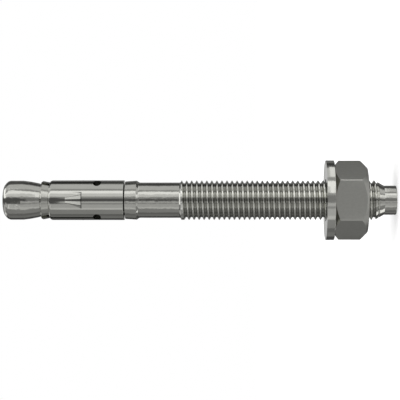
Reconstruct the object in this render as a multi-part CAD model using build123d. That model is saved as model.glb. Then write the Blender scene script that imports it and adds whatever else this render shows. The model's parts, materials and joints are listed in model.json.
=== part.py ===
import os
from math import cos, radians, sin, sqrt, tan

from build123d import *

# A wedge anchor, in millimetres. Every piece is drawn on one common axis, +X, with x = 0 at the blunt nose
# and the nut near the far end. Lying down, it rolls on its round washer, so the finished anchor is stood up
# on the flat end of its spigot, with its nose at the top and the origin in the middle of that end.

# Cone bolt: diameters
head_d = 9.73
nose_flat_d = 6.4
neck_d = 7.36
collar_front_d = 9.3
collar_d = 9.64
shank_d = 8.77
thread_d = 9.75
spigot_d = 7.21

# Cone bolt: lengths along the axis
nose_round_length = 1.65
head_length = 4.77
cone_length = 5.85
collar_length = 2.85
collar_fillet_length = 0.85
shank_length = 9.85
thread_run_in = 0.5
thread_length = 48.05
spigot_length = 3.0

# Cone bolt: what joins them
nose_bulge = 0.36
cone_start_angle = 6.0
neck_fillet = 0.4
collar_front_edge = 0.15
end_cone_angle = 29.2
spigot_edge = 0.2

# Expansion sleeve: a strip of sheet wrapped round the neck, its lip flared over the cone
sheet_thickness = 1.2
sleeve_on_neck = 0.055
sleeve_on_cone = 0.06
sleeve_to_collar = 0.27
sleeve_behind_head = 4.65
sleeve_length = 20.61
lip_front_d = 9.3
lip_crest_d = 9.56
lip_crest_back = 0.35
lip_groove_d = 8.9
lip_groove_back = 2.0
body_round_length = 0.78
sleeve_rear_edge = 0.25

# Cuts through the sleeve: one full-length seam, and slots that end in windows
finger_count = 3
slot_width = 0.5
lip_slot_width = 1.0
seam_width = 0.6
window_back = 13.98
window_length = 1.9
window_width = 2.5

# Nibs pressed out of the sleeve, one on each finger
nib_back = 6.33
nib_length = 3.9
nib_height = 0.35
nib_edge_angle = 24.5
nib_crown_angle = 12.0
nib_crown_drop = 0.03
nib_root = 0.4

# Washer
washer_d = 19.7
washer_thickness = 2.0
washer_hole_play = 0.375
washer_edge = 0.12

# Nut
nut_flats = 17.0
nut_height = 8.1
nut_from_thread_end = 1.9
nut_on_thread = 0.06
nut_to_washer = 0.03
nut_countersink = 0.45
nut_corner_round = 0.3
nut_inner_face_d = 16.9
nut_inner_side_angle = 50.0
nut_outer_face_d = 16.1
nut_outer_side_angle = 45.0

# Places along the axis
cone_end = head_length + cone_length
sleeve_front = head_length + sleeve_behind_head
sleeve_rear = sleeve_front + sleeve_length
collar_front = sleeve_rear + sleeve_to_collar
collar_end = collar_front + collar_length
shank_start = collar_end + collar_fillet_length
thread_start = shank_start + shank_length
thread_end = thread_start + thread_length
spigot_start = thread_end + (thread_d - spigot_d) / 2 / tan(radians(end_cone_angle))
bolt_end = spigot_start + spigot_length
nut_outer_face = thread_end - nut_from_thread_end
nut_inner_face = nut_outer_face - nut_height
washer_nut_side = nut_inner_face - nut_to_washer
washer_front = washer_nut_side - washer_thickness

# The cone's side is an arc: it leaves the head at cone_start_angle and reaches the neck at cone_end
cone_drop = (head_d - neck_d) / 2
cone_lean = cone_length * sin(radians(cone_start_angle)), cone_drop * cos(radians(cone_start_angle))
cone_arc_r = (cone_length**2 + cone_drop**2) / 2 / (cone_lean[1] - cone_lean[0])
cone_arc_x = head_length - cone_arc_r * sin(radians(cone_start_angle))
cone_arc_y = head_d / 2 - cone_arc_r * cos(radians(cone_start_angle))


def over_cone(x, gap):
    """Radius at x of a surface that stands off the cone by gap."""
    return cone_arc_y + sqrt((cone_arc_r + gap) ** 2 - (x - cone_arc_x) ** 2)


def cone_meets(radius, gap):
    """Place along the axis where that surface has come down to a radius."""
    return cone_arc_x + sqrt((cone_arc_r + gap) ** 2 - (radius - cone_arc_y) ** 2)


def turned(outline):
    """A solid of revolution about the common axis, from its outline as (place, radius)."""
    return revolve(make_face(outline), Axis.X)


def spaced_round(piece, angle):
    """A piece drawn at the top of the anchor, turned about the axis."""
    return Rot(angle, 0, 0) * piece


def make_cone_bolt():
    nose_r, head_r, neck_r = nose_flat_d / 2, head_d / 2, neck_d / 2
    shank_r, thread_r, spigot_r = shank_d / 2, thread_d / 2, spigot_d / 2
    collar_front_r, collar_r = collar_front_d / 2, collar_d / 2
    collar_step = (collar_r - shank_r) / 2
    fillet_middle = collar_end + collar_fillet_length * 0.45

    nose = SagittaArc((0, nose_r), (nose_round_length, head_r), nose_bulge)
    head = Line(nose @ 1, (head_length, head_r))
    cone_middle = (head_length + cone_end) / 2
    cone = ThreePointArc(head @ 1, (cone_middle, over_cone(cone_middle, 0)), (cone_end, neck_r))
    neck_and_collar = Polyline(
        cone @ 1,
        (collar_front, neck_r),
        (collar_front, collar_front_r - collar_front_edge),
        (collar_front + collar_front_edge, collar_front_r),
        (collar_end, collar_r),
    )
    collar_side = Line(neck_and_collar @ 1, (fillet_middle, collar_r - collar_step))
    collar_fillet = TangentArc(
        (shank_start, shank_r), (fillet_middle, collar_r - collar_step), tangent=(-1, 0)
    )
    shank_to_tip = Polyline(
        (shank_start, shank_r),
        (thread_start, shank_r),
        (thread_start + thread_run_in, thread_r),
        (thread_end, thread_r),
        (spigot_start, spigot_r),
        (bolt_end - spigot_edge, spigot_r),
        (bolt_end, spigot_r - spigot_edge),
        (bolt_end, 0),
        (0, 0),
        (0, nose_r),
    )
    outline = [nose, head, cone, neck_and_collar, collar_side, collar_fillet, shank_to_tip]
    bolt = turned(outline)
    neck_corner = bolt.edges().filter_by(GeomType.CIRCLE).sort_by_distance((cone_end, neck_r, 0))[0]
    return fillet(neck_corner, neck_fillet)


def make_expansion_sleeve():
    bore_r = neck_d / 2 + sleeve_on_neck
    outer_r = bore_r + sheet_thickness
    bore_start = cone_meets(bore_r, sleeve_on_cone)
    flare_middle = (sleeve_front + bore_start) / 2
    groove_x = sleeve_front + lip_groove_back
    body_x = groove_x + body_round_length

    lip = Polyline(
        (sleeve_front, over_cone(sleeve_front, sleeve_on_cone)),
        (sleeve_front, lip_front_d / 2),
        (sleeve_front + lip_crest_back, lip_crest_d / 2),
        (groove_x, lip_groove_d / 2),
    )
    body_round = TangentArc((body_x, outer_r), (groove_x, lip_groove_d / 2), tangent=(-1, 0))
    body_and_bore = Polyline(
        (body_x, outer_r),
        (sleeve_rear - sleeve_rear_edge, outer_r),
        (sleeve_rear, outer_r - sleeve_rear_edge),
        (sleeve_rear, bore_r),
        (bore_start, bore_r),
    )
    flare = ThreePointArc(
        body_and_bore @ 1, (flare_middle, over_cone(flare_middle, sleeve_on_cone)), lip @ 0
    )
    sleeve = turned([lip, body_round, body_and_bore, flare])

    spacing = 360 / finger_count
    for finger in range(finger_count):
        sleeve += spaced_round(make_nib(outer_r), spacing * finger)
    sleeve -= spaced_round(cut_upwards(sleeve_front, sleeve_length, seam_width), 180)
    for slot in range(1, finger_count):
        angle = 180 + spacing * slot
        sleeve -= spaced_round(cut_upwards(sleeve_front, window_back, slot_width), angle)
        sleeve -= spaced_round(cut_upwards(sleeve_front, lip_groove_back, lip_slot_width), angle)
        sleeve -= spaced_round(make_window(), angle)
    return sleeve


def cut_upwards(start, length, width):
    """A cut from the axis up through the top of the sleeve."""
    corner = Align.MIN, Align.CENTER, Align.MIN
    return Pos(start, 0, 0) * Box(length, width, head_d, align=corner)


def make_window():
    """An oval window through the top of the sleeve, wider than it is long."""
    oval = SlotOverall(window_width, window_length, rotation=90)
    return Pos(sleeve_front + window_back, 0, 0) * extrude(oval, head_d)


def make_nib(outer_r):
    """A wedge that rises from its point, towards the nose, to a stepped back edge with three crowns."""
    root_r = outer_r - nib_root
    crown_r = outer_r + nib_height - nib_crown_drop

    def at(angle, radius):
        return radius * sin(radians(angle)), radius * cos(radians(angle))

    back_edge = Polyline(
        at(-nib_edge_angle, root_r),
        at(-nib_edge_angle, outer_r),
        at(-nib_crown_angle, crown_r),
        at(0, outer_r + nib_height),
        at(nib_crown_angle, crown_r),
        at(nib_edge_angle, outer_r),
        at(nib_edge_angle, root_r),
        close=True,
    )
    back = Plane.YZ.offset(sleeve_front + nib_back + nib_length) * make_face(back_edge)
    point = Vertex(sleeve_front + nib_back, 0, outer_r)
    return loft([back, point])


def make_washer():
    hole_r = thread_d / 2 + washer_hole_play
    blank = Cylinder(washer_d / 2, washer_thickness, rotation=(0, 90, 0))
    blank = chamfer(blank.edges().filter_by(GeomType.CIRCLE), washer_edge)
    hole = Cylinder(hole_r, washer_thickness, rotation=(0, 90, 0))
    return Pos(washer_front + washer_thickness / 2, 0, 0) * (blank - hole)


def make_hex_nut():
    bore_r = thread_d / 2 + nut_on_thread
    corner_r = nut_flats / 2 / cos(radians(30))
    inner_r, outer_r = nut_inner_face_d / 2, nut_outer_face_d / 2
    inner_side = (corner_r - inner_r) / tan(radians(nut_inner_side_angle))
    outer_side = (corner_r - outer_r) / tan(radians(nut_outer_side_angle))

    hexagon = RegularPolygon(nut_flats / 2, 6, major_radius=False)
    hexagon = fillet(hexagon.vertices(), nut_corner_round)
    prism = Pos(nut_inner_face, 0, 0) * extrude(Plane.YZ * hexagon, nut_height)
    chamfered = Polyline(
        (nut_inner_face, 0),
        (nut_inner_face, inner_r),
        (nut_inner_face + inner_side, corner_r),
        (nut_outer_face - outer_side, corner_r),
        (nut_outer_face, outer_r),
        (nut_outer_face, 0),
        close=True,
    )
    bore = Polyline(
        (nut_inner_face, 0),
        (nut_inner_face, bore_r + nut_countersink),
        (nut_inner_face + nut_countersink, bore_r),
        (nut_outer_face - nut_countersink, bore_r),
        (nut_outer_face, bore_r + nut_countersink),
        (nut_outer_face, 0),
        close=True,
    )
    return (prism & turned(chamfered)) - turned(bore)


pieces = {
    "cone_bolt": make_cone_bolt(),
    "expansion_sleeve": make_expansion_sleeve(),
    "washer": make_washer(),
    "hex_nut": make_hex_nut(),
}

# Standing: the spigot's end is down, and a flat of the nut and a nib of the sleeve face the front, -Y
standing = Plane(origin=(0, 0, bolt_end), x_dir=(0, 0, -1), z_dir=(0, -1, 0)).location

os.makedirs("parts", exist_ok=True)
for name, piece in pieces.items():
    export_step(standing * piece, f"parts/{name}.step")
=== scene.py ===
import json
import math

import bmesh
import bpy
from mathutils import Matrix, Vector


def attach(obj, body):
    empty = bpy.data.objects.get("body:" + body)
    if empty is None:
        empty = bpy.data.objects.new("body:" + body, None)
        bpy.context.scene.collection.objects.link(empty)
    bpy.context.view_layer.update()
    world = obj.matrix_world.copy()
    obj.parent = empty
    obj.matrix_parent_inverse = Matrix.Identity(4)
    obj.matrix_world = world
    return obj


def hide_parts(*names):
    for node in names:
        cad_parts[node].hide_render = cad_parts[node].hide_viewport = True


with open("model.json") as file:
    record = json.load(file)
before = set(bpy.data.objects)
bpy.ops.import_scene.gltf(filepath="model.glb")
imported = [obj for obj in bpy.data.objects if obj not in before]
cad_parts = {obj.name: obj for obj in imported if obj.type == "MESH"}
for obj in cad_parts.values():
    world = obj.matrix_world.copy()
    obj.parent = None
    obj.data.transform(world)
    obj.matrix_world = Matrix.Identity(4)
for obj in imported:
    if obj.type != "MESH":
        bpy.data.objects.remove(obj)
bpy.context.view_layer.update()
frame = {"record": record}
print("frame loaded")

# Sizes are in millimetres along the anchor's own axis: x = 0 at the nose, the nut towards +x, and +z the side
# that faces the front. toFrame stands each piece where the frame has it, in metres.
anchor = {
    "length": 97.1724,
    "ringSteps": 160,
    "degreesPerArcStep": 6,
    "fewestArcSteps": 3,
    "turnedMerge": 1e-4,
    "sharpAngle": 14,
    "perMetre": 1000,
}

mounts = {mount["name"]: mount for mount in frame["record"]["mounts"]}
along = Vector(mounts["struck_end"]["axis"]).normalized()
front = Vector((0, -1, 0))
toFrame = (
    Matrix.Translation(Vector(mounts["struck_end"]["pos_m"]))
    @ Matrix((along, front.cross(along), front)).transposed().to_4x4()
    @ Matrix.Scale(1 / anchor["perMetre"], 4)
    @ Matrix.Translation((-anchor["length"], 0, 0))
)


def traceOutline(bm, outline, closed=False):
    # (place, radius), and a third number bows the run up to that point into an arc of that height
    first = last = bm.verts.new((outline[0][0], 0, outline[0][1]))
    for place, radius, *bow in outline[1:]:
        end = Vector((place, 0, radius))
        if bow:
            chord = end - last.co
            half, height = chord.length / 2, abs(bow[0])
            arcRadius = (half * half + height * height) / (2 * height)
            side = Vector((-chord.z, 0, chord.x)).normalized() * math.copysign(1, bow[0])
            centre = last.co + chord / 2 - side * (arcRadius - height)
            sweep = 2 * math.asin(half / arcRadius) * math.copysign(1, bow[0])
            steps = max(
                anchor["fewestArcSteps"], round(math.degrees(abs(sweep)) / anchor["degreesPerArcStep"])
            )
            arc = bmesh.ops.spin(
                bm, geom=[last], cent=centre, axis=(0, 1, 0), angle=sweep, steps=steps, use_merge=False
            )
            last = next(v for v in arc["geom_last"] if isinstance(v, bmesh.types.BMVert))
            last.co = end
        else:
            new = bm.verts.new(end)
            bm.edges.new((last, new))
            last = new
    if closed:
        bm.edges.new((last, first))


def turnedPiece(outline, steps, closed=False):
    bm = bmesh.new()
    traceOutline(bm, outline, closed)
    bmesh.ops.spin(
        bm,
        geom=bm.verts[:] + bm.edges[:],
        cent=(0, 0, 0),
        axis=(1, 0, 0),
        angle=math.tau,
        steps=steps,
        use_merge=True,
    )
    bmesh.ops.remove_doubles(bm, verts=bm.verts[:], dist=anchor["turnedMerge"])
    bmesh.ops.recalc_face_normals(bm, faces=bm.faces[:])
    return bm


def asObject(name, bm):
    mesh = bpy.data.meshes.new(name)
    bm.to_mesh(mesh)
    bm.free()
    piece = bpy.data.objects.new(name, mesh)
    bpy.context.scene.collection.objects.link(piece)
    return piece


def applyModifiers(piece):
    bpy.context.view_layer.update()
    result = bpy.data.meshes.new_from_object(piece.evaluated_get(bpy.context.evaluated_depsgraph_get()))
    piece.modifiers.clear()
    worn, piece.data = piece.data, result
    bpy.data.meshes.remove(worn)
    result.materials.clear()


def combine(piece, operation, bm):
    # the tool mesh is used up
    tool = asObject("tool", bm)
    modifier = piece.modifiers.new("combine", "BOOLEAN")
    modifier.operation = operation
    modifier.solver = "MANIFOLD"
    modifier.object = tool
    applyModifiers(piece)
    bpy.data.meshes.remove(tool.data)


def wearSteels(piece, steels, steelAt):
    # steelAt picks a face's steel from its place, its radius and how far it faces along the axis
    for name, look in steels.items():
        piece.data.materials.append(steel(name, look))
    for polygon in piece.data.polygons:
        place, *across = polygon.center
        polygon.material_index = steelAt(place, math.hypot(*across), polygon.normal.x)


def finishPiece(piece, body, node, flatSteel=None):
    # faces of different steels meet in a sharp edge, and those of flatSteel are shaded flat
    piece.data.transform(toFrame)
    piece.data.shade_smooth()
    piece.data.set_sharp_from_angle(angle=math.radians(anchor["sharpAngle"]))
    bm = bmesh.new()
    bm.from_mesh(piece.data)
    for edge in bm.edges:
        worn = {face.material_index for face in edge.link_faces}
        if len(worn) > 1 or flatSteel in worn:
            edge.smooth = False
    bm.to_mesh(piece.data)
    bm.free()
    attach(piece, body)
    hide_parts(node)


def linear(hexColour):
    parts = [int(hexColour[i : i + 2], 16) / 255 for i in (1, 3, 5)]
    return tuple(c / 12.92 if c <= 0.04045 else ((c + 0.055) / 1.055) ** 2.4 for c in parts) + (1,)


def addNode(tree, kind, inputs=None, **settings):
    node = tree.nodes.new(kind)
    for name, value in settings.items():
        setattr(node, name, value)
    for name, value in (inputs or {}).items():
        if isinstance(value, bpy.types.NodeSocket):
            tree.links.new(value, node.inputs[name])
        else:
            node.inputs[name].default_value = value
    return node


def newMaterial(name):
    material = bpy.data.materials.new(name)
    material.use_nodes = True
    return material, material.node_tree, material.node_tree.nodes["Principled BSDF"]


# One noise gives every pattern: stretched along the anchor, round it, or a little along. Real drawing lines
# and tool marks are under 0.1 mm wide, too fine to show, so they are drawn as coarse as they need to be.
steelNoise = {"Scale": 1, "Detail": 3, "Roughness": 0.55}
patternStretch = {"streaks": (1, 1, 0.02), "rings": (0.02, 0.02, 1), "skin": (1, 1, 0.6)}


def steel(name, look):
    # Every steel here is metallic, with the default IOR. Its surface is up to three patterns, each with a
    # size and a height in millimetres: streaks along the anchor, rings round it, and an uneven skin.
    material, tree, shader = newMaterial(name)
    shader.inputs["Metallic"].default_value = 1
    where = addNode(tree, "ShaderNodeTexCoord")
    surface = None
    for pattern, stretch in patternStretch.items():
        if pattern not in look:
            continue
        size, height = look[pattern]
        scaled = addNode(
            tree,
            "ShaderNodeMapping",
            {
                "Vector": where.outputs["Object"],
                "Scale": tuple(anchor["perMetre"] / size * s for s in stretch),
            },
        )
        noise = addNode(tree, "ShaderNodeTexNoise", {"Vector": scaled.outputs["Vector"], **steelNoise})
        bump = addNode(
            tree,
            "ShaderNodeBump",
            {"Height": noise.outputs["Fac"], "Distance": height / anchor["perMetre"]},
        )
        if surface:
            tree.links.new(surface, bump.inputs["Normal"])
        surface = bump.outputs["Normal"]
    tree.links.new(surface, shader.inputs["Normal"])
    # inputs 0, 6 and 7 of a colour mix are its factor and its colours, and output 2 is what it gives
    shade = addNode(
        tree,
        "ShaderNodeMix",
        {0: noise.outputs["Fac"], 6: linear(look["dark"]), 7: linear(look["light"])},
        data_type="RGBA",
    ).outputs[2]
    if "roots" in look:
        # painted shade in the roots: the shade colour below one radius, fading to the steel's own colour
        # above another
        flat = addNode(
            tree,
            "ShaderNodeMapping",
            {"Vector": where.outputs["Object"], "Scale": (anchor["perMetre"], anchor["perMetre"], 0)},
        )
        radius = addNode(tree, "ShaderNodeVectorMath", {0: flat.outputs["Vector"]}, operation="LENGTH")
        worn = addNode(
            tree,
            "ShaderNodeMapRange",
            {"Value": radius.outputs["Value"], "From Min": look["roots"][0], "From Max": look["roots"][1]},
        )
        shade = addNode(
            tree,
            "ShaderNodeMix",
            {0: worn.outputs["Result"], 6: linear(look["rootShade"]), 7: shade},
            data_type="RGBA",
        ).outputs[2]
    tree.links.new(shade, shader.inputs["Base Color"])
    shader.inputs["Roughness"].default_value = look["roughness"]
    return material


# The thread, M10 x 1.25, right-handed: groovePlace is where a groove passes the front of the anchor. Half of
# the groove is flankHalf wide under its eased mouth, and rootHalf wide above its round root. It fades in over
# the turns between fadeFrom and fadeTo.
thread = {
    "pitch": 1.25,
    "stepsPerTurn": 72,
    "groovePlace": 43.9075,
    "turns": 40,
    "crestRadius": 4.875,
    "flankRadius": 4.845,
    "flankHalf": 0.515,
    "rootRadius": 4.21,
    "rootRound": 0.045,
    "rootHalf": 0.15,
    "rootFlatHalf": 0.075,
    "fadeFrom": 0.25,
    "fadeTo": 0.75,
    "fadeClear": 0.02,
    "cutterReach": 0.05,
    "cutterMerge": 1e-3,
}


def helicalCutter(profile, place, turns):
    # profile is drawn at the front of the anchor, as (distance from the middle of the groove, radius)
    turn = bmesh.new()
    traceOutline(turn, [(place + x, radius) for x, radius in profile], closed=True)
    bmesh.ops.spin(
        turn,
        geom=turn.verts[:] + turn.edges[:],
        cent=(0, 0, 0),
        axis=(1, 0, 0),
        dvec=(thread["pitch"] / thread["stepsPerTurn"], 0, 0),
        angle=math.tau,
        steps=thread["stepsPerTurn"],
        use_merge=False,
    )
    oneTurn = bpy.data.meshes.new("turn")
    turn.to_mesh(oneTurn)
    turn.free()
    bm = bmesh.new()
    for count in range(turns):
        bm.from_mesh(oneTurn)
        oneTurn.transform(Matrix.Translation((thread["pitch"], 0, 0)))
    bpy.data.meshes.remove(oneTurn)
    # merged over more than the rounding that a turn gathers, so no joint is left open and then capped
    bmesh.ops.remove_doubles(bm, verts=bm.verts[:], dist=thread["cutterMerge"])
    bmesh.ops.holes_fill(bm, edges=[edge for edge in bm.edges if edge.is_boundary], sides=0)
    bmesh.ops.recalc_face_normals(bm, faces=bm.faces[:])
    return bm


# Cone bolt: one cold-formed bar
coneBolt = {
    "noseFlat": 3.0,
    "nose": [(0.18, 3.78, 0.05), (0.95, 4.62, 0.05), (1.6, 4.855, 0.03)],
    "headFront": 1.8,
    "headRadius": 4.865,
    "headBack": 4.77,
    "headRing": 0.15,
    "coneBack": 10.62,
    "coneBulge": 0.142,
    "neckRadius": 3.68,
    "neckFillet": 0.4,
    "neckFilletRise": 0.12,
    "neckFilletBulge": -0.04,
    "neckShadePast": 0.01,
    "collarFront": 30.30,
    "collarFrontRadius": 4.69,
    "collarFrontEdge": 0.12,
    "collarFrontBulge": 0.05,
    "collarBack": 33.15,
    "collarRadius": 4.85,
    "collarBackEdge": 0.07,
    "collarBackBulge": 0.02,
    "filletStart": 33.17,
    "filletMiddle": (33.45, 4.5975),
    "filletBulge": -0.06,
    "shankStart": 34.0,
    "shankRadius": 4.385,
    "threadStart": 43.85,
    "threadRunIn": [(-0.07, 4.385), (0.25, 4.61), (0.33, 4.875)],
    "threadEnd": 91.90,
    "endConeBack": 94.1724,
    "spigotRadius": 3.605,
    "spigotEdge": 0.2,
    "spigotBulge": 0.05,
}


def boltOutline(bolt):
    # rings just inside its two ends keep the head's side straight where it is shaded smooth
    return [
        (0, 0),
        (0, bolt["noseFlat"]),
        *bolt["nose"],
        (bolt["headFront"], bolt["headRadius"]),
        (bolt["headFront"] + bolt["headRing"], bolt["headRadius"]),
        (bolt["headBack"] - bolt["headRing"], bolt["headRadius"]),
        (bolt["headBack"], bolt["headRadius"]),
        (
            bolt["coneBack"] - bolt["neckFillet"],
            bolt["neckRadius"] + bolt["neckFilletRise"],
            bolt["coneBulge"],
        ),
        (bolt["coneBack"] + bolt["neckFillet"], bolt["neckRadius"], bolt["neckFilletBulge"]),
        (bolt["collarFront"], bolt["neckRadius"]),
        (bolt["collarFront"], bolt["collarFrontRadius"] - bolt["collarFrontEdge"]),
        (
            bolt["collarFront"] + bolt["collarFrontEdge"],
            bolt["collarFrontRadius"],
            bolt["collarFrontBulge"],
        ),
        (bolt["collarBack"] - bolt["collarBackEdge"], bolt["collarRadius"]),
        (bolt["filletStart"], bolt["collarRadius"] - bolt["collarBackEdge"], bolt["collarBackBulge"]),
        bolt["filletMiddle"],
        (bolt["shankStart"], bolt["shankRadius"], bolt["filletBulge"]),
        *[(bolt["threadStart"] + x, radius) for x, radius in bolt["threadRunIn"]],
        (bolt["threadEnd"], thread["crestRadius"]),
        (bolt["endConeBack"], bolt["spigotRadius"]),
        (anchor["length"] - bolt["spigotEdge"], bolt["spigotRadius"]),
        (anchor["length"], bolt["spigotRadius"] - bolt["spigotEdge"], bolt["spigotBulge"]),
        (anchor["length"], 0),
    ]


def studGroove():
    # the crests are eased at 45 degrees, and the roots are round
    top = thread["crestRadius"] + thread["cutterReach"]
    half = [
        (thread["rootFlatHalf"], thread["rootRadius"]),
        (thread["rootHalf"], thread["rootRadius"] + thread["rootRound"]),
        (thread["flankHalf"], thread["flankRadius"]),
        (thread["flankHalf"] + top - thread["flankRadius"], top),
    ]
    profile = [(-x, radius) for x, radius in half[::-1]] + half
    bm = helicalCutter(profile, thread["groovePlace"], thread["turns"])
    depth = thread["crestRadius"] - thread["rootRadius"] + thread["fadeClear"]
    for vert in bm.verts:
        # the groove deepens from nothing over its first half turn
        around = math.atan2(-vert.co.y, vert.co.z) / math.tau
        turn = around + round((vert.co.x - thread["groovePlace"]) / thread["pitch"] - around)
        lift = depth * max(0, (thread["fadeTo"] - turn) / (thread["fadeTo"] - thread["fadeFrom"]))
        radius = math.hypot(vert.co.y, vert.co.z)
        vert.co.yz *= (radius + lift) / radius
    return bm


# Stainless bar, drawn and cold formed: a bright skin, a little uneven, with faint drawing lines along it
drawnSteel = {
    "light": "#DCDCD6",
    "dark": "#CDCDC6",
    "roughness": 0.1,
    "streaks": (0.35, 0.0008),
    "rings": (0.3, 0.006),
    "skin": (0.9, 0.035),
}
# The same bar where dies rolled the thread: smoother on the flanks, with painted shade darkening the roots
# and fading towards the crests
rolledThreadSteel = {
    "light": "#FAFAF5",
    "dark": "#F0F0EA",
    "rootShade": "#B4B4AE",
    "roots": (4.3, 4.86),
    "roughness": 0.09,
    "rings": (0.2, 0.0003),
    "skin": (0.8, 0.001),
}
# Round the neck, under the sleeve, a dark colour paints the shade between neck and sleeve, seen through the
# slots and the collar gap
neckPaintedShadeSteel = {"light": "#3A3A37", "dark": "#2A2A28", "roughness": 0.5, "skin": (0.5, 0.004)}

boltSteels = {
    "drawnStainlessBar": drawnSteel,
    "rolledStainlessThread": rolledThreadSteel,
    "neckPaintedShade": neckPaintedShadeSteel,
}


def boltSteelAt(place, radius, facing):
    if coneBolt["threadStart"] < place < coneBolt["threadEnd"]:
        return 1
    # the neck under the sleeve, and a little past it into the gap at the collar, gets the painted shade
    if coneBolt["coneBack"] < place < coneBolt["collarFront"] + coneBolt["neckShadePast"]:
        return 2
    return 0


bolt = asObject("wedgeAnchorBolt", turnedPiece(boltOutline(coneBolt), anchor["ringSteps"]))
combine(bolt, "DIFFERENCE", studGroove())
wearSteels(bolt, boltSteels, boltSteelAt)
finishPiece(bolt, "bolt", "cone_bolt", flatSteel=2)
print("cone bolt:", len(bolt.data.polygons), "faces")

# Expansion sleeve: one strip of sheet wrapped round the neck
sleeve = {
    "front": 9.42,
    "rear": 30.03,
    "boreRadius": 3.735,
    "boreStart": 10.646,
    "outerRadius": 4.935,
    "lipBoreRadius": 4.081,
    "lipFrontRadius": 4.65,
    "lipFrontEdge": 0.08,
    "lipFrontBulge": 0.02,
    "lipCrestRadius": 4.78,
    "lipCrestBack": 0.35,
    "lipGrooveBack": 2.0,
    "lipGrooveRadius": 4.45,
    "lipGrooveRun": 0.12,
    "lipGrooveRise": 0.024,
    "bodyRound": 0.78,
    "bodyBulge": 0.131,
    "rearEdge": 0.08,
    "rearBulge": 0.016,
    "slotDegrees": (60, 300),
    "slotWidth": 0.5,
    "lipSlotWidth": 1.0,
    "seamDegrees": 180,
    "seamLength": 22,
    "seamWidth": 0.6,
    "windowBack": 13.98,
    "windowLength": 1.9,
    "windowWidth": 2.5,
    "windowSteps": 64,
}
# Cutters for it stand on one side of the axis, and begin a little in front of it
cutter = {"middle": 5, "height": 8, "lead": 1}
# Its nibs: section is half of one, as degrees from the middle and height at the back edge, then at the front
nib = {
    "degrees": (0, 120, 240),
    "back": 6.33,
    "length": 3.9,
    "root": 0.4,
    "section": [
        (0, 0.34, 0, 0.06),
        (3.5, 0.35, 2.5, 0.06),
        (13.5, 0.2, 7, 0.01),
        (14.5, 0.17, 7.5, 0),
        (16, 0.22, 8, 0),
        (24.5, 0, 8.7, 0),
    ],
    "steelAbove": 0.01,
    "slit": 0.15,
    "slitDepth": 0.45,
    "slitCutter": 2,
    "slitRim": 0.03,
    "slitSlack": 0.01,
}
nib["front"] = sleeve["front"] + nib["back"]
nib["slitFront"] = nib["front"] + nib["length"]
nib["slitFloor"] = sleeve["outerRadius"] - nib["slitDepth"]


def sleeveOutline():
    front, rear, groove = sleeve["front"], sleeve["rear"], sleeve["front"] + sleeve["lipGrooveBack"]
    return [
        (front, sleeve["lipBoreRadius"]),
        (front, sleeve["lipFrontRadius"] - sleeve["lipFrontEdge"]),
        (front + sleeve["lipFrontEdge"], sleeve["lipFrontRadius"], sleeve["lipFrontBulge"]),
        (front + sleeve["lipCrestBack"], sleeve["lipCrestRadius"]),
        (groove - sleeve["lipGrooveRun"], sleeve["lipGrooveRadius"] + sleeve["lipGrooveRise"]),
        (groove, sleeve["lipGrooveRadius"]),
        (groove + sleeve["bodyRound"], sleeve["outerRadius"], sleeve["bodyBulge"]),
        (rear - sleeve["rearEdge"], sleeve["outerRadius"]),
        (rear, sleeve["outerRadius"] - sleeve["rearEdge"], sleeve["rearBulge"]),
        (rear, sleeve["boreRadius"]),
        (sleeve["boreStart"], sleeve["boreRadius"]),
    ]


def turnTool(bm, degrees):
    bmesh.ops.rotate(
        bm, verts=bm.verts[:], cent=(0, 0, 0), matrix=Matrix.Rotation(math.radians(degrees), 3, "X")
    )
    return bm


def slotTool(length, width, degrees):
    bm = bmesh.new()
    bmesh.ops.create_cube(bm, size=1)
    bmesh.ops.scale(bm, vec=(length + cutter["lead"], width, cutter["height"]), verts=bm.verts[:])
    middle = sleeve["front"] + (length - cutter["lead"]) / 2
    bmesh.ops.translate(bm, vec=(middle, 0, cutter["middle"]), verts=bm.verts[:])
    return turnTool(bm, degrees)


def windowTool(degrees):
    bm = bmesh.new()
    half = sleeve["windowLength"] / 2
    bmesh.ops.create_cone(
        bm,
        cap_ends=True,
        segments=sleeve["windowSteps"],
        radius1=half,
        radius2=half,
        depth=cutter["height"],
    )
    for vert in bm.verts:
        vert.co.y += math.copysign(sleeve["windowWidth"] / 2 - half, vert.co.y)
    middle = sleeve["front"] + sleeve["windowBack"]
    bmesh.ops.translate(bm, vec=(middle, 0, cutter["middle"]), verts=bm.verts[:])
    return turnTool(bm, degrees)


def nibEnd(place, half):
    # all the way round one end of the block: (place, degrees, radius)
    ring = [(angle, sleeve["outerRadius"] + height) for angle, height in half]
    ring.append((half[-1][0], sleeve["outerRadius"] - nib["root"]))
    ring = [(-angle, radius) for angle, radius in ring[:0:-1]] + ring
    return [
        (place, radius * math.sin(math.radians(angle)), radius * math.cos(math.radians(angle)))
        for angle, radius in ring
    ]


def nibBlock(degrees):
    # the stepped back edge is drawn first, and drawn out to the blunt front
    bm = bmesh.new()
    backEdge = nibEnd(nib["slitFront"], [row[:2] for row in nib["section"]])
    frontEdge = nibEnd(nib["front"], [row[2:] for row in nib["section"]])
    face = bm.faces.new([bm.verts.new(point) for point in backEdge])
    drawn = bmesh.ops.extrude_face_region(bm, geom=[face])["geom"]
    for vert in [v for v in drawn if isinstance(v, bmesh.types.BMVert)]:
        gaps = [(Vector(point) - vert.co).length for point in backEdge]
        vert.co = frontEdge[gaps.index(min(gaps))]
    bmesh.ops.recalc_face_normals(bm, faces=bm.faces[:])
    return turnTool(bm, degrees)


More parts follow.
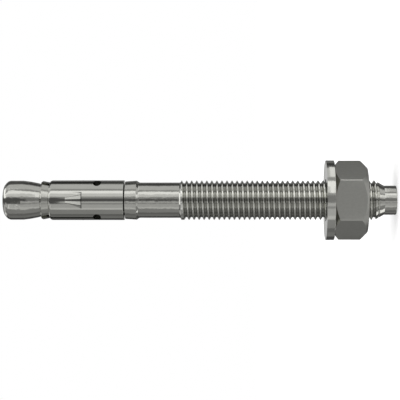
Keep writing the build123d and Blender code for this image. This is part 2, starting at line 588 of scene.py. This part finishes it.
def slitTool(degrees):
    # the nib is sheared free of the sheet at its back edge
    bm = bmesh.new()
    bmesh.ops.create_cube(bm, size=1)
    width = 2 * sleeve["outerRadius"] * math.sin(math.radians(nib["section"][-1][0]))
    bmesh.ops.scale(bm, vec=(nib["slit"], width, nib["slitCutter"]), verts=bm.verts[:])
    middle = (nib["slitFront"] + nib["slit"] / 2, 0, nib["slitFloor"] + nib["slitCutter"] / 2)
    bmesh.ops.translate(bm, vec=middle, verts=bm.verts[:])
    return turnTool(bm, degrees)


# Stainless strip, cold rolled: a flat bright skin, with straight fine lines along the sleeve
rolledStripSteel = {
    "light": "#DCDCD6",
    "dark": "#CFCFC8",
    "roughness": 0.08,
    "streaks": (0.3, 0.0006),
    "skin": (2.0, 0.002),
}
# The same strip where it is pressed to the flared lip: rings from the tool, and softer reflections
pressedLipSteel = {
    "light": "#D9D9D2",
    "dark": "#CACAC3",
    "roughness": 0.18,
    "rings": (0.28, 0.004),
    "skin": (1.2, 0.004),
}
# The same strip on the nibs, flattened by the punch: bright, and a little softened
pressedNibSteel = {"light": "#E0E0DA", "dark": "#D6D6CF", "roughness": 0.14, "skin": (0.8, 0.002)}

# The slit behind a nib gets the same painted shade as the neck, dark in its hollow
sleeveSteels = {
    "rolledStainlessStrip": rolledStripSteel,
    "pressedStainlessLip": pressedLipSteel,
    "pressedStainlessNib": pressedNibSteel,
    "slitPaintedShade": neckPaintedShadeSteel,
}


def sleeveSteelAt(place, radius, facing):
    if place < sleeve["front"] + sleeve["lipGrooveBack"]:
        return 1
    if radius > sleeve["outerRadius"] + nib["steelAbove"]:
        return 2
    slack = nib["slitSlack"]
    inLength = slack < place - nib["slitFront"] < nib["slit"] + slack
    inDepth = nib["slitFloor"] - slack < radius < sleeve["outerRadius"] - nib["slitRim"]
    # the hollow of the slit gets the painted shade
    return 3 if inLength and inDepth else 0


wedgeSleeve = asObject(
    "wedgeAnchorSleeve", turnedPiece(sleeveOutline(), anchor["ringSteps"], closed=True)
)
for degrees in nib["degrees"]:
    combine(wedgeSleeve, "UNION", nibBlock(degrees))
    combine(wedgeSleeve, "DIFFERENCE", slitTool(degrees))
combine(
    wedgeSleeve,
    "DIFFERENCE",
    slotTool(sleeve["seamLength"], sleeve["seamWidth"], sleeve["seamDegrees"]),
)
for degrees in sleeve["slotDegrees"]:
    combine(wedgeSleeve, "DIFFERENCE", slotTool(sleeve["windowBack"], sleeve["slotWidth"], degrees))
    combine(wedgeSleeve, "DIFFERENCE", slotTool(sleeve["lipGrooveBack"], sleeve["lipSlotWidth"], degrees))
    combine(wedgeSleeve, "DIFFERENCE", windowTool(degrees))
wearSteels(wedgeSleeve, sleeveSteels, sleeveSteelAt)
finishPiece(wedgeSleeve, "sleeve", "expansion_sleeve", flatSteel=2)
print("expansion sleeve:", len(wedgeSleeve.data.polygons), "faces")

# Washer: stamped from sheet, one side of the rim drawn in a little by the punch
washer = {
    "front": 79.87,
    "thickness": 2.0,
    "radius": 9.85,
    "holeRadius": 5.25,
    "edge": 0.12,
    "edgeBulge": 0.03,
    "punchEdge": 0.05,
    "punchRun": 0.035,
    "punchBulge": 0.07,
}


def washerOutline():
    front, back = washer["front"], washer["front"] + washer["thickness"]
    rim, hole, edge = washer["radius"], washer["holeRadius"], washer["edge"]
    return [
        (front, hole + edge),
        (front, rim - washer["punchEdge"]),
        (front + washer["punchRun"], rim, washer["punchBulge"]),
        (back - edge, rim),
        (back, rim - edge, washer["edgeBulge"]),
        (back, hole + edge),
        (back - edge, hole, washer["edgeBulge"]),
        (front + edge, hole),
    ]


# Stainless sheet, stamped: flat dull faces, and a rim sheared bright across its thickness
stampedSheetSteel = {
    "light": "#E6E6E0",
    "dark": "#DADAD3",
    "roughness": 0.12,
    "streaks": (0.4, 0.002),
    "skin": (1.5, 0.003),
}

flatWasher = asObject("wedgeAnchorWasher", turnedPiece(washerOutline(), anchor["ringSteps"], closed=True))
wearSteels(flatWasher, {"stampedStainlessSheet": stampedSheetSteel}, lambda *face: 0)
finishPiece(flatWasher, "washer", "washer")
print("washer:", len(flatWasher.data.polygons), "faces")

# Hexagon nut: both ends turned to a chamfer
nut = {
    "innerFace": 81.9,
    "outerFace": 90.0,
    "acrossFlats": 17.0,
    "halfSide": 30,
    "cornerRound": 0.3,
    "cornerSteps": 4,
    "innerFaceRadius": 8.45,
    "innerSideAngle": 50.0,
    "outerFaceRadius": 8.05,
    "outerSideAngle": 45.0,
    "chamferFacing": (-0.95, -0.3),
    "chamferRadius": 7.5,
    "boreRadius": 4.33,
    "countersinkRadius": 5.385,
    "boreOver": 1,
    "threadRadius": 4.935,
    "threadHalf": 0.10,
    "flankAngle": 30,
    "threadOver": 0.1,
    "threadTurns": 10,
}
nut["height"] = nut["outerFace"] - nut["innerFace"]
# from the middle of a flat to a corner is half a side of the hexagon, 30 degrees
nut["cornerRadius"] = nut["acrossFlats"] / 2 / math.cos(math.radians(nut["halfSide"]))


def nutBlank():
    bm = bmesh.new()
    corner = nut["cornerRadius"]
    bmesh.ops.create_cone(
        bm, cap_ends=True, segments=6, radius1=corner, radius2=corner, depth=nut["height"]
    )
    rise = nut["height"] / 2
    bmesh.ops.bevel(
        bm,
        geom=[edge for edge in bm.edges if abs(edge.verts[0].co.z - edge.verts[1].co.z) > rise],
        offset=nut["cornerRound"] * math.tan(math.radians(nut["halfSide"])),
        affect="EDGES",
        segments=nut["cornerSteps"],
        profile=0.5,
        material=-1,
    )
    # the axis goes from z to x, and a flat turns to the front
    bmesh.ops.rotate(
        bm, verts=bm.verts[:], cent=(0, 0, 0), matrix=Matrix.Rotation(math.radians(90), 3, "Y")
    )
    bmesh.ops.translate(bm, vec=(nut["innerFace"] + nut["height"] / 2, 0, 0), verts=bm.verts[:])
    return bm


def nutTurning():
    corner = nut["cornerRadius"]
    innerSide = (corner - nut["innerFaceRadius"]) / math.tan(math.radians(nut["innerSideAngle"]))
    outerSide = (corner - nut["outerFaceRadius"]) / math.tan(math.radians(nut["outerSideAngle"]))
    return turnedPiece(
        [
            (nut["innerFace"], 0),
            (nut["innerFace"], nut["innerFaceRadius"]),
            (nut["innerFace"] + innerSide, corner),
            (nut["outerFace"] - outerSide, corner),
            (nut["outerFace"], nut["outerFaceRadius"]),
            (nut["outerFace"], 0),
        ],
        anchor["ringSteps"],
    )


def nutBore():
    # its countersinks go on past both faces
    sink, bore, over = nut["countersinkRadius"], nut["boreRadius"], nut["boreOver"]
    return turnedPiece(
        [
            (nut["innerFace"] - over, 0),
            (nut["innerFace"] - over, sink + over),
            (nut["innerFace"] + sink - bore, bore),
            (nut["outerFace"] - sink + bore, bore),
            (nut["outerFace"] + over, sink + over),
            (nut["outerFace"] + over, 0),
        ],
        anchor["ringSteps"],
    )


def nutGroove():
    # it follows the crest of the stud's thread, half a pitch from its groove
    inside = nut["boreRadius"] - nut["threadOver"]
    mouth = nut["threadHalf"] + (nut["threadRadius"] - inside) * math.tan(math.radians(nut["flankAngle"]))
    profile = [
        (-nut["threadHalf"], nut["threadRadius"]),
        (nut["threadHalf"], nut["threadRadius"]),
        (mouth, inside),
        (-mouth, inside),
    ]
    start = nut["innerFace"] - nut["boreOver"] - thread["groovePlace"]
    turnsBefore = math.floor(start / thread["pitch"]) + 0.5
    place = thread["groovePlace"] + thread["pitch"] * turnsBefore
    return helicalCutter(profile, place, nut["threadTurns"])


# Stainless hexagon bar: flats drawn to a satin grey, ends turned to a chamfer
satinHexSteel = {
    "light": "#E0E0DA",
    "dark": "#CECEC7",
    "roughness": 0.32,
    "rings": (0.3, 0.003),
    "skin": (0.5, 0.002),
}

# The chamfer next to the washer is turned and smoother; its darker colour paints the shade between washer and
# nut
chamferPaintedShadeSteel = {
    "light": "#A8A8A1",
    "dark": "#969690",
    "roughness": 0.3,
    "rings": (0.2, 0.0008),
    "skin": (0.8, 0.001),
}
nutSteels = {
    "satinStainlessHexagon": satinHexSteel,
    "chamferPaintedShade": chamferPaintedShadeSteel,
}


def nutSteelAt(place, radius, facing):
    steepest, shallowest = nut["chamferFacing"]
    # the chamfer that faces the washer gets the painted shade
    return 1 if steepest < facing < shallowest and radius > nut["chamferRadius"] else 0


hexNut = asObject("wedgeAnchorNut", nutBlank())
combine(hexNut, "INTERSECT", nutTurning())
combine(hexNut, "DIFFERENCE", nutBore())
combine(hexNut, "DIFFERENCE", nutGroove())
wearSteels(hexNut, nutSteels, nutSteelAt)
finishPiece(hexNut, "nut", "hex_nut")
print("hexagon nut:", len(hexNut.data.polygons), "faces")

# Camera, in metres: in front of the anchor, and rolled so that it lies across the picture, nose to the left
view = {
    "position": Vector((0.00005, -0.3266, 0.036)),
    "target": Vector((0.00005, 0, 0.0484)),
    "lens": 118.5,
    "sensor": 36.0,
    "clipStart": 0.01,
}

lens = bpy.data.cameras.new("camera")
lens.lens = view["lens"]
lens.sensor_width = view["sensor"]
lens.clip_start = view["clipStart"]
camera = bpy.data.objects.new("camera", lens)
bpy.context.scene.collection.objects.link(camera)
away = (view["position"] - view["target"]).normalized()
up = away.cross(Vector((0, 0, -1))).normalized()
turned = Matrix((up.cross(away), up, away)).transposed().to_4x4()
camera.matrix_world = Matrix.Translation(view["position"]) @ turned
bpy.context.scene.camera = camera
bpy.context.scene.view_settings.view_transform = "Standard"

# Stage, in metres: a paper floor, and a light tent round the anchor that only reflections show
stage = {
    "circleSteps": 96,
    "degreesPerTentStep": 2,
    "fewestTentSteps": 4,
    "floorRadius": 6.0,
    "floorGrey": 0.86,
    "floorGlow": 0.34,
    "diffuseLevel": 0.72,
    "tentRadius": 0.3,
    "tentTop": 1.2,
    "tentBottom": -1.1,
    "topGlow": 0.08,
    "bottomGlow": 0.45,
}
# Panels of the tent: where each starts, in degrees round from the camera towards +x, and how it glows
tentPanels = [
    (-180, 0.50),
    (-165, 0.07),
    (-128, 0.19),
    (-105, 0.15),
    (-88, 0.26),
    (-57, 0.56),
    (-46, 0.44),
    (-24, 0.28),
    (-17, 0.46),
    (-7.5, 0.10),
    (8, 0.24),
    (12, 0.34),
    (20, 0.70),
    (38, 1.05),
    (55.5, 0.34),
    (68, 0.56),
    (105, 0.13),
    (118, 0.05),
    (133, 0.16),
    (165, 0.50),
]
# Cards inside the tent: degrees from and to, then (radius, height) from edge to edge, then how each glows
tentCards = {
    "headFlag": (-20, 14, [(0.28, 0.129), (0.28, 1.15)], 0.09),
    "leftCard": (-50, -24, [(0.27, 0.15), (0.27, 0.17)], 0.9),
    "rightCard": (57, 76, [(0.27, 0.15), (0.27, 0.17)], 0.85),
    "highCardRight": (100, 112, [(0.285, 0.3), (0.285, 1.15)], 0.45),
    "crescentCard": (112, 155, [(0.285, 0.42), (0.285, 1.15), (0.16, 1.15)], 1.3),
    "noseLineFlag": (155, 204, [(0.285, 0.3), (0.285, 1.15)], 0.09),
    "highCardLeft": (204, 260, [(0.285, 0.3), (0.285, 1.15)], 0.45),
    "chamferCard": (100, 260, [(0.285, -1.0), (0.285, -0.38)], 0.36),
    "runInCardLeft": (-52, -20, [(0.275, 0.7), (0.275, 0.92)], 1.4),
    "runInCardFront": (-20, 20, [(0.275, 0.88), (0.275, 1.05)], 1.4),
    "runInCardRight": (20, 80, [(0.275, 0.55), (0.275, 0.95)], 1.4),
    "noseEdgeCard": (-153, -141, [(0.28, 0.24), (0.28, 0.38)], 1.0),
    "lowRightCard": (20, 54, [(0.28, -0.035), (0.28, 0.02)], 1.0),
    "lowSideCard": (70, 110, [(0.28, -0.035), (0.28, 0.016)], 0.88),
    "lowFrontCard": (-7.5, 14, [(0.28, -0.15), (0.28, 0.066)], 0.22),
    "footCard": (-125, -95, [(0.28, -0.42), (0.28, -0.2)], 1.2),
}
# Lamps: the direction that each shines from, and its spread in degrees
lamps = [
    {"name": "keyLamp", "from": (0.4, -0.7, 1.0), "strength": 0.8, "spread": 60},
    {"name": "fillLamp", "from": (-0.9, 0.3, 0.8), "strength": 0.6, "spread": 80},
]


def whiteRays(tree):
    # 1 for camera, glossy and transmission rays
    path = addNode(tree, "ShaderNodeLightPath")
    white = path.outputs["Is Camera Ray"]
    for kind in ("Is Glossy Ray", "Is Transmission Ray"):
        either = addNode(tree, "ShaderNodeMath", {0: white, 1: path.outputs[kind]}, operation="MAXIMUM")
        white = either.outputs["Value"]
    return white


world = bpy.data.worlds.new("studio")
bpy.context.scene.world = world
world.use_nodes = True
background = world.node_tree.nodes["Background"]
background.inputs["Color"].default_value = (1, 1, 1, 1)
level = addNode(
    world.node_tree,
    "ShaderNodeMapRange",
    {"Value": whiteRays(world.node_tree), "To Min": stage["diffuseLevel"]},
)
world.node_tree.links.new(level.outputs["Result"], background.inputs["Strength"])


def grey(level):
    return (level, level, level, 1)


def floorMaterial():
    # matt white paper, lit from below a little so that it runs into the background
    material, tree, shader = newMaterial("mattPaperFloor")
    shader.inputs["Base Color"].default_value = grey(stage["floorGrey"])
    shader.inputs["Roughness"].default_value = 1
    shader.inputs["Specular IOR Level"].default_value = 0
    shader.inputs["Emission Color"].default_value = (1, 1, 1, 1)
    glow = addNode(
        tree, "ShaderNodeMath", {0: whiteRays(tree), 1: stage["floorGlow"]}, operation="MULTIPLY"
    )
    tree.links.new(glow.outputs[0], shader.inputs["Emission Strength"])
    return material


def disc(name, radius, height):
    bm = bmesh.new()
    bmesh.ops.create_circle(bm, cap_ends=True, segments=stage["circleSteps"], radius=radius)
    bmesh.ops.translate(bm, vec=(0, 0, height), verts=bm.verts[:])
    return asObject(name, bm)


floor = disc("floor", stage["floorRadius"], 0)
floor.data.materials.append(floorMaterial())
# the light tent goes on below the floor, so that what stands low reflects it as the rest does
floor.visible_glossy = False


def glowing(name, level):
    # white cloth lit from behind: it only glows
    material, tree, shader = newMaterial(name)
    tree.nodes.remove(shader)
    emission = addNode(tree, "ShaderNodeEmission", {"Color": grey(level)})
    tree.links.new(emission.outputs["Emission"], tree.nodes["Material Output"].inputs["Surface"])
    return material, tree, emission


def tentMaterial():
    material, tree, emission = glowing("tentPanels", 0)
    where = addNode(tree, "ShaderNodeTexCoord")
    around = addNode(
        tree, "ShaderNodeTexGradient", {"Vector": where.outputs["Object"]}, gradient_type="RADIAL"
    )
    ramp = addNode(tree, "ShaderNodeValToRGB", {"Fac": around.outputs["Fac"]})
    tree.links.new(ramp.outputs["Color"], emission.inputs["Color"])
    ramp.color_ramp.interpolation = "CONSTANT"
    elements = ramp.color_ramp.elements
    elements.remove(elements[1])
    # the gradient starts a quarter turn before the camera, and its last panel goes on past the start
    panels = sorted(((90 + degrees) / 360 % 1, glow) for degrees, glow in tentPanels)
    elements[0].color = grey(panels[-1][1])
    for place, glow in panels:
        elements.new(place).color = grey(glow)
    return material


def placeInTent(piece, material):
    # only reflections show it
    piece.data.materials.append(material)
    piece.visible_camera = piece.visible_diffuse = piece.visible_transmission = piece.visible_shadow = False


def tentPiece(name, outline, start, end, material):
    # (radius, height) points spun round the anchor from start to end, in degrees from the camera towards +x
    bm = bmesh.new()
    points = [bm.verts.new((0, -radius, height)) for radius, height in outline]
    for low, high in zip(points, points[1:]):
        bm.edges.new((low, high))
    bmesh.ops.rotate(
        bm, verts=bm.verts[:], cent=(0, 0, 0), matrix=Matrix.Rotation(math.radians(start), 3, "Z")
    )
    bmesh.ops.spin(
        bm,
        geom=bm.verts[:] + bm.edges[:],
        cent=(0, 0, 0),
        axis=(0, 0, 1),
        angle=math.radians(end - start),
        steps=max(stage["fewestTentSteps"], round((end - start) / stage["degreesPerTentStep"])),
        use_merge=end - start == 360,
    )
    placeInTent(asObject(name, bm), material)


tentWall = [(stage["tentRadius"], stage["tentBottom"]), (stage["tentRadius"], stage["tentTop"])]
tentPiece("lightTent", tentWall, 0, 360, tentMaterial())
for name, (start, end, outline, glow) in tentCards.items():
    tentPiece(name, outline, start, end, glowing(name, glow)[0])
for name, glow in (("tentTop", stage["topGlow"]), ("tentBottom", stage["bottomGlow"])):
    placeInTent(disc(name, stage["tentRadius"], stage[name]), glowing(name, glow)[0])

for lamp in lamps:
    # broad and far away, so the floor is lit evenly and the shadow is soft
    light = bpy.data.lights.new(lamp["name"], "SUN")
    light.energy = lamp["strength"]
    light.angle = math.radians(lamp["spread"])
    holder = bpy.data.objects.new(lamp["name"], light)
    bpy.context.scene.collection.objects.link(holder)
    holder.rotation_euler = Vector(lamp["from"]).to_track_quat("Z", "Y").to_euler()
    holder.visible_glossy = False
print("stage, lamps and camera set")
